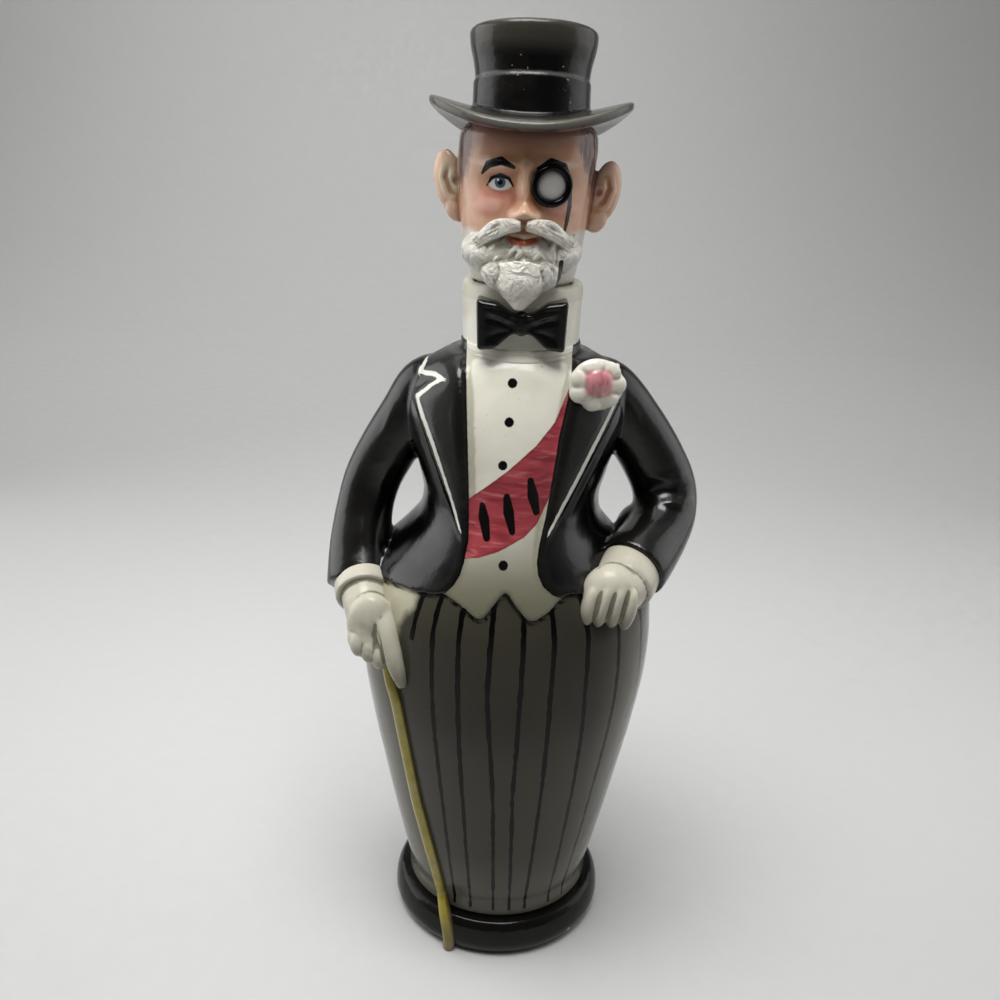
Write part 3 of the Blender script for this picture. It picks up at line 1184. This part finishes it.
def makeTrouserGlaze():
    glaze = newGlaze("trouser glaze", "trousers", 0.12, 0.0, 0.16)
    shadeUp(glaze, "trousers dark", 0.092, 0.118, 0.75)
    fade(glaze, "trousers light", "edge", 0.55, 0.95, 0.8)
    cloud(glaze, (74, 70, 58), 0.42, 0.72, 0.4, 26, 4, 0.8, (1, 1, 0.5))
    shadeUp(glaze, "trousers light", 0.05, 0.02, 0.45)
    cloud(glaze, (80, 76, 62), 0.64, 0.74, 0.25, 900, 2)
    across = math2(glaze, "SUBTRACT", math2(glaze, "FRACT", attribute(glaze, "stripe")), 0.5)
    across = math2(glaze, "ABSOLUTE", across)
    inside = math2(glaze, "SUBTRACT", attribute(glaze, "half width"),
                   math2(glaze, "MULTIPLY", across, attribute(glaze, "stripe gap")))
    inside = math2(glaze, "ADD", inside, mapTo(glaze, noise(glaze, 260, 2), 0.3, 0.7, -0.16, 0.16))
    inside = math2(glaze, "MINIMUM", inside, attribute(glaze, "stripe end"))
    paint(glaze, mapTo(glaze, inside, -0.14, 0.14), (15, 14, 13))
    daub(glaze, "black", "tail", 0.3, 0.1)
    daub(glaze, (172, 168, 146), "patch", 1.4, 0.9, 220)
    daub(glaze, (24, 22, 19), "seam", 0.3, 0.15)
    ripple(glaze, 0.00018, 110)
    ripple(glaze, 0.00002, 1400)
    return finishGlaze(glaze)


def makeCaneGlaze():
    glaze = newGlaze("cane glaze", "cane", 0.16, 0.2)
    cloud(glaze, (172, 156, 66), 0.4, 0.7, 0.6, 160, 4, 0.5)
    cloud(glaze, "cane light", 0.5, 0.72, 0.6, 70, 3, 0.8)
    fade(glaze, "cane shade", "side", 0.45, 0.95, 0.85)
    shadeUp(glaze, (84, 74, 34), 0.022, 0.008, 0.6)
    ripple(glaze, 0.0002, 260)
    return finishGlaze(glaze)


def makeBlackGlaze(name, edge=0.45, shine=0.2):  # foot and bow tie
    glaze = newGlaze(name, "black", 0.15, 0.0, shine)
    cloud(glaze, (26, 25, 23), 0.5, 0.8, 0.5, 60, 4, 0.6)
    fade(glaze, "black edge", "hollow", -0.02, -0.1, edge)
    chip = math2(glaze, "MINIMUM", attribute(glaze, "chip"),
                 mapTo(glaze, noise(glaze, 1200, 2), 0.4, 0.6, 0.0, 1.0))
    paint(glaze, mapTo(glaze, chip, 0.4, 0.6), (196, 190, 176))
    ripple(glaze, 0.00016, 240)
    return finishGlaze(glaze)


def makeCreamGlaze(name, base, shade, cloudiness=0.4, groove=0.8, low=None):  # collar and gloves
    glaze = newGlaze(name, base, 0.22, 0.0, 0.3)
    cloud(glaze, shade, 0.4, 0.75, cloudiness, 60, 4, 0.5)
    fade(glaze, shade, "hollow", 0.015, 0.16, groove)
    if low:
        fade(glaze, shade, low, 0.0, 1.0, 0.75)
    cloud(glaze, shade, 0.70, 0.78, 0.4, 850, 2)
    ripple(glaze, 0.00014, 220)
    return glaze


def makeFlowerGlaze():
    glaze = newGlaze("flower glaze", "cream", 0.15, 0.25)
    cloud(glaze, (224, 200, 190), 0.45, 0.7, 0.4, 150, 3)
    heart = newGlazeLayer(glaze, "pink")
    cloud(heart, "pink deep", 0.42, 0.66, 1.0, 300, 4, 0.8, (1, 1, 0.5), (0, 30, 0))
    cloud(heart, (232, 190, 188), 0.55, 0.75, 0.8, 360, 3, 0.5, (0.5, 1, 1), (0, -20, 0))
    daub(glaze, heart["colour"], "heart", 0.9, 1.1, 300)
    fade(glaze, (168, 140, 124), "hollow", 0.02, 0.16, 0.45)
    ripple(glaze, 0.00014, 300)
    return finishGlaze(glaze)


def makeSkinGlaze():
    glaze = newGlaze("skin glaze", "skin", 0.17, 0.08, 0.34)
    cloud(glaze, (224, 190, 166), 0.4, 0.75, 0.45, 70, 4, 0.5)
    daub(glaze, "skin tan", "tan", 3.6, 1.6, 120)
    daub(glaze, "blush", "blush", 2.6, 1.8, 160, strength=0.75)
    daub(glaze, "ear green", "ear green", 2.4, 1.0, 200, strength=0.85)
    daub(glaze, "ear brown", "ear brown", 2.4, 1.0, 200, strength=0.85)
    fade(glaze, (150, 92, 70), "hollow", 0.01, 0.12, 0.6)
    fade(glaze, (236, 208, 186), "hollow", -0.02, -0.12, 0.4)
    shadeUp(glaze, (112, 78, 70), 0.2938, 0.3005, 0.8)
    daub(glaze, (206, 202, 190), "jaw", 1.6, 1.4, 300)
    hair = newGlazeLayer(glaze, "hair")
    cloud(hair, (70, 48, 44), 0.42, 0.62, 1.0, 420, 3, 0.3, (1.6, 1.6, 0.22))
    cloud(hair, (196, 168, 150), 0.56, 0.70, 0.9, 520, 3, 0.3, (1.6, 1.6, 0.2))
    daub(glaze, hair["colour"], "hair", 1.3, 1.2, 320)
    daub(glaze, "ink", "brow", 0.14, 0.1)
    daub(glaze, (206, 204, 200), "eye white", 0.2)
    daub(glaze, (74, 88, 104), "iris", 0.16)
    daub(glaze, (12, 12, 14), "pupil", 0.14)
    daub(glaze, "ink", "lid", 0.12, 0.05)
    daub(glaze, (214, 216, 220), "glint", 0.1)
    daub(glaze, "ink", "cord", 0.12, 0.08)
    ripple(glaze, 0.00014, 300)
    return finishGlaze(glaze)


def makeBeardGlaze():
    glaze = newGlaze("beard glaze", "beard", 0.2, 0.08, 0.34)
    cloud(glaze, (190, 186, 172), 0.4, 0.72, 0.5, 80, 4, 0.6)
    daub(glaze, (160, 144, 118), "moustache shade", 2.2, 1.4, 200, strength=0.8)
    fade(glaze, "beard shade", "hollow", 0.01, 0.14, 0.85)
    fade(glaze, (236, 234, 228), "hollow", -0.02, -0.14, 0.5)
    daub(glaze, "lips", "lips", 0.5, 0.3)
    daub(glaze, (116, 44, 30), "lip line", 0.25, 0.1, strength=0.8)
    daub(glaze, "ink", "cord", 0.12, 0.08)
    glaze["bumps"].append((noise(glaze, 170, 3, 2.2), 0.0013))  # small curls
    ripple(glaze, 0.0002, 500)
    return finishGlaze(glaze)


def makeHatGlaze():
    glaze = newGlaze("hat glaze", "hat", 0.18, 0.0, 0.3)
    fade(glaze, "hat light", "worn", 0.25, 1.0, 0.8)
    cloud(glaze, (48, 46, 41), 0.5, 0.75, 0.3, 70, 4, 0.7)
    daub(glaze, "brim lip", "lip", 0.7, 0.5, 240)
    daub(glaze, (100, 100, 96), "band line", 0.35, 0.3, 300, strength=0.45)
    under = newGlazeLayer(glaze, "mauve")
    cloud(under, (62, 44, 40), 0.45, 0.66, 1.0, 320, 3, 0.6, (0.3, 1, 1))
    fade(under, (92, 91, 85), "side", 0.45, 0.8)
    daub(glaze, under["colour"], "under", 0.8, 0.6, 260)
    cloud(glaze, (120, 118, 110), 0.755, 0.785, 1.0, 780, 1)
    ripple(glaze, 0.00016, 260)
    ripple(glaze, 0.00002, 1500)
    return finishGlaze(glaze)


def makeLensGlaze():
    glaze = newGlaze("eyeglass glaze", (184, 180, 176), 0.12, 0.3)
    cloud(glaze, (204, 202, 198), 0.4, 0.7, 0.5, 200, 3, 0.4)
    ripple(glaze, 0.00008, 300)
    return finishGlaze(glaze)


def makeBareClay():  # unglazed earthenware of the stopper's plug and the hollows
    glaze = newGlaze("bare clay", (206, 200, 184), 0.55)
    cloud(glaze, (178, 168, 146), 0.4, 0.7, 0.5, 120, 5, 0.4)
    cloud(glaze, (150, 138, 116), 0.6, 0.72, 0.5, 1500, 3)
    ripple(glaze, 0.00012, 900, 4)
    return finishGlaze(glaze)


# Paint masks on the body, as distances in millimetres, positive inside

figurePaint = {
    "sash": ((17.6, 225.0), (13.3, 214.5), (7.8, 207.6), (-0.8, 199.6), (-10.2, 191.6), (-16, 186.6),
             (-16, 169.9), (-9.4, 171.5), (-3, 174.1), (4.9, 178.4), (8.9, 182.1), (12.4, 190),
             (14.3, 199.6), (17, 213.7)),
    "strokes": (  # bold brush strokes on the sash: x, z, half width
        ((-9.0, 187.6, 0.9), (-8.4, 183.6, 1.8), (-7.2, 177.6, 1.2)),
        ((-1.2, 191.0, 1.1), (-0.4, 186.0, 1.8), (1.0, 180.0, 1.0)),
        ((6.2, 196.4, 1.0), (7.2, 191.4, 1.8), (8.6, 186.0, 1.1))),
    "studs": ((-0.7, 226.1), (-1.3, 214.4), (-2.8, 200.9), (-1.5, 170.1)),
    "stud radius": 1.55,
    "right piping": ((-29.9, 227.8, 0.35), (-31.9, 224.5, 0.6), (-25.9, 225.9, 0.7), (-23.2, 225.4, 0.5),
                     (-27.2, 222.7, 0.45), (-32.0, 218.1, 0.6), (-30.4, 214.6, 0.75), (-26.2, 205.5, 0.7),
                     (-19.8, 189.2, 0.55), (-16.1, 178.8, 0.35)),
    "left piping": ((33.0, 232.4, 0.3), (34.8, 227.5, 0.45), (33.6, 219.7, 0.5), (26.6, 206.4, 0.65),
                    (20.7, 194.4, 0.7), (16.0, 185.4, 0.6), (12.8, 179.4, 0.4)),
    "stripe heights": (17.0, 80.0, 125.0, 154.0),
    "stripes": ((-38, -37, -36.5, -36), (-26, -26, -26.6, -27.5), (-15.5, -16, -16.4, -17),
                (-1.2, -2.6, -5.6, -4.9), (8.7, 5.5, 6.1, 6.9), (18.3, 17.9, 17.1, 18.3),
                (34.9, 33.4, 31, 32.2), (46, 46.5, 47, 47.5), (70, 67, 65, 63.5)),
    "stripe width": (0.55, 0.95),
    "patch": ((-46, 156), (-36.2, 157.3), (-29.4, 156.8), (-31, 151.6), (-33.8, 148.6), (-35.8, 144.4),
              (-37, 138), (-44, 138)),
    "chip": (29.5, -27.8, 4.6),
}


def maskDress(obj):
    x, y, z = placesOf(obj)
    front = (y < 0) & (z > 150)
    opening = insideOf(x, z, dress["opening"])
    shirt = np.minimum(opening, insideOf(x, z, dress["waistcoat"]))
    setMask(obj, "shirt", np.where(front, shirt, -9))
    lapel = lapelEdge(x, z)
    setMask(obj, "lapel", np.where(front, np.minimum(lapel, -opening - 3.0) - 1.2, -9))
    setMask(obj, "sash", np.where(front, insideOf(x, z, figurePaint["sash"]), -9))
    ink = np.full(len(x), -9.0)
    for stroke in figurePaint["strokes"]:
        ink = np.maximum(ink, strokeOf(x, z, stroke))
    for sx, sz in figurePaint["studs"]:
        ink = np.maximum(ink, figurePaint["stud radius"] - np.hypot(x - sx, z - sz))
    setMask(obj, "ink", np.where(front, ink, -9))
    line = np.where(x < 0, 1, 0)
    right, left = (crossOf(x, z, figurePaint[name]) for name in ("right piping", "left piping"))
    setMask(obj, "piping", np.where(front, np.where(line, right[0], left[0]), 9))
    setMask(obj, "piping width", np.where(line, right[1], left[1]))
    near = np.maximum(strokeOf(x, z, figurePaint["right piping"]),
                      strokeOf(x, z, figurePaint["left piping"]))
    setMask(obj, "piping near", np.where(front, near, -9))


def maskTrousers(obj):
    x, y, z = placesOf(obj)
    width = stationCurve(trunk["stations"], 1, z)
    depth = depthAt(trunk["stations"], y, z)
    angle = np.degrees(np.arctan2(x / width, -y / depth))
    knots = [np.full(len(x), -180.0)]
    counts = [-0.5]
    left = [np.interp(z, figurePaint["stripe heights"], stripe) for stripe in figurePaint["stripes"]]
    for k in range(11):  # round the right side and the back the stripes are even, and meet behind
        knots.append(-173.5 + (left[0] + 173.5) * k / 10)
        counts.append(5 - abs(5 - k))
    for k in range(1, 9):
        knots.append(left[k])
        counts.append(k)
    for k in range(1, 9):
        knots.append(left[8] + (173.5 - left[8]) * k / 8)
        counts.append(8 - k)
    knots.append(np.full(len(x), 180.0))
    counts.append(-0.5)
    stripe, gap = np.zeros(len(x)), np.ones(len(x))
    for k in range(len(knots) - 1):
        here = (angle >= knots[k]) & (angle <= knots[k + 1])
        turn = (angle - knots[k]) / np.maximum(knots[k + 1] - knots[k], 1e-3)
        stripe = np.where(here, counts[k] + (counts[k + 1] - counts[k]) * turn, stripe)
        gap = np.where(here, (knots[k + 1] - knots[k]) / abs(counts[k + 1] - counts[k]), gap)
    reach = np.hypot(width * np.cos(np.radians(angle)), depth * np.sin(np.radians(angle)))
    setMask(obj, "stripe", stripe + 20.5)
    setMask(obj, "stripe gap", gap * np.pi / 180 * reach)
    low, high = figurePaint["stripe width"]
    setMask(obj, "half width", low + (high - low) * np.clip((z - 17) / 137, 0, 1))
    bare = np.minimum(angle + 82, -31.5 - angle) * 0.8  # no stripes behind the cane
    bare = np.where(angle > -43, np.minimum(bare, 141 - z), bare)
    setMask(obj, "stripe end", np.minimum(z - 18.2, -bare))
    setMask(obj, "edge", np.abs(x) / width)
    setMask(obj, "tail", tailEdge(x, y, z))
    setMask(obj, "patch", np.where(y < 0, insideOf(x, z, figurePaint["patch"]), -9))
    hemGap = np.abs(coverEdge(x, y, z) + 0.5)
    setMask(obj, "seam", np.maximum(0.55 - hemGap, 16.3 - z))


def maskCane(obj):
    x, y, z = placesOf(obj)
    line = sorted((point[2], point[0]) for point in caneLine())
    middle = np.interp(z, [point[0] for point in line], [point[1] for point in line])
    setMask(obj, "side", (x - middle) / trousers["cane radius"])


def maskFlower(obj):
    x, y, z = placesOf(obj)
    cx, cy, cz = neckwear["flower"]
    heart = 4.4 - (np.abs(x - cx - 0.2) ** 4 + np.abs(z - cz - 1.2) ** 4) ** 0.25
    setMask(obj, "heart", np.where(y < cy, heart, -5))


def chipOf(obj):
    x, y, z = placesOf(obj)
    cx, cy, cz = figurePaint["chip"]
    setMask(obj, "chip", spread(np.sqrt((x - cx) ** 2 + (y - cy) ** 2 + (z - cz) ** 2), 1.5))


# Paint masks on the head

headPaint = {
    "brow": ((-13.2, 288.4, 0.3), (-11.2, 291.2, 1.15), (-7.4, 292.4, 1.2), (-3.6, 290.6, 0.5)),
    "lid": ((-11.6, 285.0, 0.2), (-10.2, 287.3, 0.5), (-7.6, 288.3, 0.6), (-5.0, 287.4, 0.5),
            (-3.6, 285.2, 0.25)),
    "eye": (7.6, 285.9),
    "cord": ((14.6, 284.4, 0.55), (14.6, 280, 0.7), (14.0, 275, 0.65), (13.4, 271.6, 0.35)),
    "beard cord": ((12.9, 263.6, 0.7), (12.6, 259, 0.65), (12.0, 255.6, 0.5), (10.8, 254.4, 0.5)),
    "cord end": (10.6, 254.6, 1.0),
    "lips": (0.9, 270.1),
}


def maskSkin(obj):
    x, y, z = placesOf(obj)
    front = y < -4
    across = x - head["middle"]
    side = np.abs(across)
    mirrored = -side
    setMask(obj, "brow", np.where(front, strokeOf(mirrored, z, headPaint["brow"]), -5))
    setMask(obj, "lid", np.where(front, strokeOf(mirrored, z, headPaint["lid"]), -5))
    ex, ez = headPaint["eye"]
    white = (1 - np.hypot((side - ex) / 3.6, (z - ez) / 2.0)) * 2.2
    setMask(obj, "eye white", np.where(front, white, -5))
    iris = 1.65 - np.hypot(side - ex, z - ez - 0.3)
    setMask(obj, "iris", np.where(front, np.minimum(iris, white + 0.2), -5))
    setMask(obj, "pupil", np.where(front, 0.8 - np.hypot(side - ex, z - ez - 0.3), -5))
    setMask(obj, "glint", np.where(front, 0.42 - np.hypot(across + ex + 0.7, z - ez - 1.0), -5))
    setMask(obj, "cord", np.where(front, strokeOf(x, z, headPaint["cord"]), -5))
    cheek = 3.6 - np.hypot((side - 10.8) / 1.2, z - 280.6)
    under = 1.8 - np.hypot((side - 7.8) / 2.0, z - 282.8)
    setMask(obj, "blush", np.where(front, np.maximum(cheek, under), -5))
    tan = np.maximum(4.6 - np.hypot(across / 0.8, (z - 281) / 1.6), 3.6 - np.hypot(across / 1.4, z - 292))
    setMask(obj, "tan", np.where(front, tan, -8))
    ear = (np.abs(x - 1.7) > 21.6) & (z < 297)
    temple = np.minimum(side - 16.4 - 0.3 * np.maximum(0, 295 - z), (z - 282) * 0.4)
    back = np.minimum(y - 2.5, z - 266.5)
    setMask(obj, "hair", np.where(ear, -5, np.maximum(temple, back)))
    jaw = np.minimum(271.5 - z - 0.1 * np.maximum(0.0, 14.0 - side), -1.0 - y)
    setMask(obj, "jaw", jaw)
    green = 4.2 - np.hypot(x + 23.0, (z - 285.6) / 1.5)
    setMask(obj, "ear green", np.where((x < 0) & ear & (y < 2), green, -5))
    brown = 4.6 - np.hypot(x - 26.0, (z - 283.6) / 1.5)
    setMask(obj, "ear brown", np.where((x > 0) & ear & (y < 2), brown, -5))


def maskBeard(obj):
    x, y, z = placesOf(obj)
    lx, lz = headPaint["lips"]
    across = x - lx
    lips = np.minimum(1.9 - np.hypot(across / 2.6, z - lz),
                      1.7 - 0.3 * np.abs(across) + 0.5 * np.minimum(np.abs(across), 1.2) - (z - lz))
    setMask(obj, "lips", np.where(y < -20, lips, -5))
    line = 0.35 - np.abs(z - lz - 0.1 - 0.04 * across ** 2) - 0.06 * np.abs(across)
    setMask(obj, "lip line", np.where(y < -20, line, -5))
    cx, cz, end = headPaint["cord end"]
    cord = np.maximum(strokeOf(x, z, headPaint["beard cord"]), end - np.hypot(x - cx, z - cz))
    setMask(obj, "cord", np.where(y < -4, cord, -5))
    setMask(obj, "moustache shade", 5.0 - np.hypot((x - 0.9) / 1.5, (z - 275.6) * 1.5))


# Put the pieces together

def coverWith(obj, material):
    obj.data.materials.clear()
    obj.data.materials.append(material)
    for polygon in obj.data.polygons:
        polygon.use_smooth = True
        polygon.material_index = 0


for piece in (coatPiece, trouserPiece, footPiece, canePiece, collarPiece, handPiece, bowPiece, flowerPiece,
              skullPiece, beardPiece, hatPiece):
    setHollow(piece)
maskDress(coatPiece)
maskTrousers(trouserPiece)
maskCane(canePiece)
maskFlower(flowerPiece)
chipOf(footPiece)
maskSkin(skullPiece)
maskBeard(beardPiece)

bareClay = makeBareClay()
gloveGlaze = makeCreamGlaze("glove glaze", "glove", "glove shade", 0.25, 0.85, "turned under")
collarGlaze = makeCreamGlaze("collar glaze", "cream", "cream shade", 0.45, 0.5)
for piece, material in (
        (coatPiece, makeDressGlaze()), (trouserPiece, makeTrouserGlaze()),
        (footPiece, makeBlackGlaze("foot glaze")), (canePiece, makeCaneGlaze()),
        (collarPiece, finishGlaze(collarGlaze)), (handPiece, finishGlaze(gloveGlaze)),
        (bowPiece, makeBlackGlaze("bow glaze", 0.25, 0.4)), (flowerPiece, makeFlowerGlaze()),
        (skullPiece, makeSkinGlaze()), (beardPiece, makeBeardGlaze()), (hatPiece, makeHatGlaze()),
        (rimPiece, makeBlackGlaze("eyeglass rim glaze", 0.1)), (glassPiece, makeLensGlaze()),
        (plugPiece, bareClay)):
    coverWith(piece, material)
body = joinAll("decanter", [coatPiece, trouserPiece, footPiece, canePiece, collarPiece])
stopper = joinAll("stopper", [skullPiece, plugPiece, rimPiece, glassPiece])
handPiece.name = "gloves"
bowPiece.name = "bow_tie"
flowerPiece.name = "buttonhole_flower"
beardPiece.name = "beard"
hatPiece.name = "top_hat"
for piece, slot in ((body, "body_glaze"), (handPiece, "body_glaze"), (bowPiece, "body_glaze"),
                    (flowerPiece, "body_glaze"), (stopper, "head_glaze"), (beardPiece, "head_glaze"),
                    (hatPiece, "head_glaze")):
    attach(piece, "root")
    print(piece.name, sum(len(p.vertices) - 2 for p in piece.data.polygons), "triangles")
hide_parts("body_torso", "body_trousers", "body_right_arm", "body_left_arm")
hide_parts("head_stopper")


# Floor and backdrop, camera and lights

studio = {
    "floor": (0.62, 0.62, 0.61), "half floor": 3000.0, "back": 1000.0, "curve": 600.0, "height": 2000.0,
    "camera": (0.0, -0.32146, 0.30530), "pitch": 21.84, "yaw": 0.66, "roll": 1.9, "focus": 964.2,
    "lights": (  # name, place, target, width, height, watts, spread in degrees
        ("left box", (-0.50, 0.14, 0.30), (0.0, 0.06, 0.17), 0.5, 0.55, 0.72, 120),
        ("right box", (0.50, 0.14, 0.30), (0.0, 0.06, 0.17), 0.5, 0.55, 0.40, 120),
        ("top box", (-0.05, -0.13, 0.64), (0.0, 0.02, 0.15), 0.36, 0.22, 1.25, 120),
        ("ceiling", (-0.2, 0.5, 1.5), (0.0, 0.5, 0.0), 1.6, 1.2, 4.6, 150),
        ("back wash", (-0.3, 0.75, 1.3), (-0.2, 1.6, 0.35), 1.2, 0.5, 5.6, 150)),
    "world": {"behind": 0.50, "sides": 0.42, "front": 0.08, "above": 0.30},
}


def makeStage():  # pale paper floor that curves up far behind the figure
    half, bend = studio["half floor"], studio["curve"]
    profile = [(-half, 0.0), (studio["back"], 0.0)]
    for k in range(1, 17):
        angle = math.pi / 2 * k / 16
        profile.append((studio["back"] + bend * math.sin(angle), bend * (1 - math.cos(angle))))
    profile.append((studio["back"] + bend, studio["height"]))
    places = [(side * half * mm, y * mm, z * mm) for y, z in profile for side in (-1, 1)]
    faces = [(2 * k, 2 * k + 1, 2 * k + 3, 2 * k + 2) for k in range(len(profile) - 1)]
    mesh = bpy.data.meshes.new("studio_paper")
    mesh.from_pydata(places, [], faces)
    obj = newObject("studio_paper", mesh)
    paper = newGlaze("studio paper", studio["floor"] + (1.0,), 0.75)
    cloud(paper, (0.58, 0.58, 0.58, 1.0), 0.35, 0.7, 0.12, 6, 3)
    coverWith(obj, finishGlaze(paper))


def makeCamera():
    camera = bpy.data.cameras.new("camera")
    camera.sensor_width = 36.0
    camera.lens = studio["focus"] / 1000 * 36
    camera.clip_start = 0.01
    obj = newObject("camera", camera)
    pitch, yaw, roll = (math.radians(studio[key]) for key in ("pitch", "yaw", "roll"))
    ahead = Vector((-math.sin(yaw) * math.cos(pitch), math.cos(yaw) * math.cos(pitch), -math.sin(pitch)))
    right = Vector((math.cos(yaw), math.sin(yaw), 0.0))
    up = right.cross(ahead)
    tiltedRight = right * math.cos(roll) + up * math.sin(roll)
    tiltedUp = up * math.cos(roll) - right * math.sin(roll)
    turn = Matrix((tiltedRight, tiltedUp, -ahead)).transposed().to_4x4()
    obj.matrix_world = Matrix.Translation(Vector(studio["camera"])) @ turn
    bpy.context.scene.camera = obj


def makeLights():
    for name, place, target, width, height, watts, spreadAngle in studio["lights"]:
        light = bpy.data.lights.new(name, "AREA")
        light.shape = "RECTANGLE"
        light.size, light.size_y, light.energy = width, height, watts
        light.spread = math.radians(spreadAngle)
        obj = newObject(name, light)
        obj.location = place
        obj.rotation_euler = (Vector(target) - Vector(place)).to_track_quat("-Z", "Y").to_euler()


def makeWorld():  # pale tent walls behind and at the sides, dark room in front
    world = bpy.data.worlds.new("studio")
    world.use_nodes = True
    tree = world.node_tree
    look = tree.nodes.new("ShaderNodeTexCoord").outputs["Generated"]
    room = {"tree": tree, "place": look}
    levels = studio["world"]
    x, y, z = (axisOf(room, letter) for letter in "XYZ")
    level = mapTo(room, y, -0.75, -0.05, levels["front"], levels["sides"])
    level = math2(room, "ADD", level, mapTo(room, y, 0.1, 0.9, 0.0, levels["behind"] - levels["sides"]))
    above = mapTo(room, z, 0.25, 0.95, 1.0, levels["above"] / levels["sides"])
    level = math2(room, "MULTIPLY", level, above)
    tree.links.new(level, tree.nodes["Background"].inputs["Color"])
    bpy.context.scene.world = world


makeStage()
makeCamera()
makeLights()
makeWorld()
bpy.context.scene.view_settings.view_transform = "Standard"
print("studio done")
